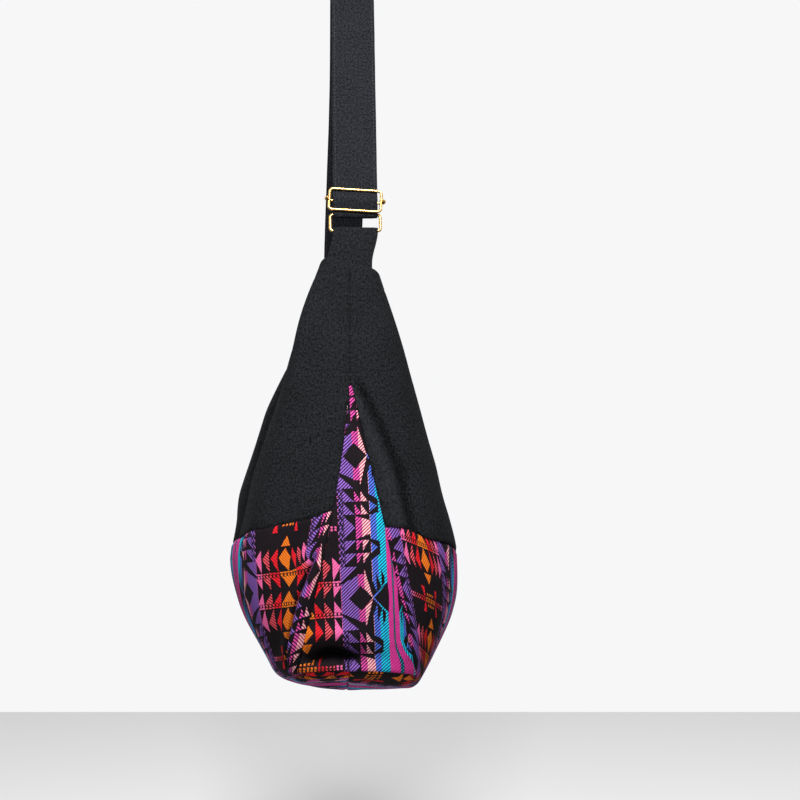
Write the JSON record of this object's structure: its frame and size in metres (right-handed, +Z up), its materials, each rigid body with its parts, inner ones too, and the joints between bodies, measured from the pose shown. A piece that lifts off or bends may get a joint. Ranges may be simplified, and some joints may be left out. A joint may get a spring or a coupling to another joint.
{
  "type": "crossbody bag",
  "caption": "Soft hobo bag of black canvas over patterned woven cloth, with end gussets, an open mouth and a flat strap adjusted by a wire slider and ring.",
  "frame": {"origin": "inside of the strap's top bend, where a peg or a shoulder carries the bag", "axes": "+Z up along the hanging line, +X towards the end that holds the ring, -Y the front"},
  "size_m": [0.3938, 0.2043, 0.7566],
  "materials": {
    "canvas": "matt black cotton canvas",
    "woven_cloth": "striped jacquard weave in magenta, purple, orange and turquoise on black",
    "strap_cotton": "matt black folded cotton strap with stitched edges",
    "brass_wire": "bright gold-coloured wire"
  },
  "bodies": {
    "bag": {"front_upper_panel": "canvas", "back_upper_panel": "canvas", "front_lower_panel": "woven_cloth", "back_lower_panel": "woven_cloth", "ring_end_gusset": "woven_cloth", "sewn_end_gusset": "woven_cloth", "ring_tab": "canvas", "strap": "strap_cotton"},
    "ring": {"ring": "brass_wire"},
    "slider": {"slider_frame": "brass_wire"},
    "bar": {"slider_bar": "brass_wire"}
  },
  "joints": [
    {"name": "ring_swing", "type": "hinge", "parent": "bag", "child": "ring", "pos_m": [0.14857, 0, -0.343], "axis": [0, 1, 0], "range_deg": [-30, 30], "deforming": ["strap"]},
    {"name": "slider_slide", "type": "slide", "parent": "ring", "child": "slider", "axis": [-0.3856, 0, 0.9227], "range_m": [0, 0.25], "deforming": ["strap"]},
    {"name": "bar_slide", "type": "slide", "parent": "slider", "child": "bar", "axis": [-0.3856, 0, 0.9227], "range_m": [-0.004, 0.004], "deforming": ["strap"]}
  ]
}
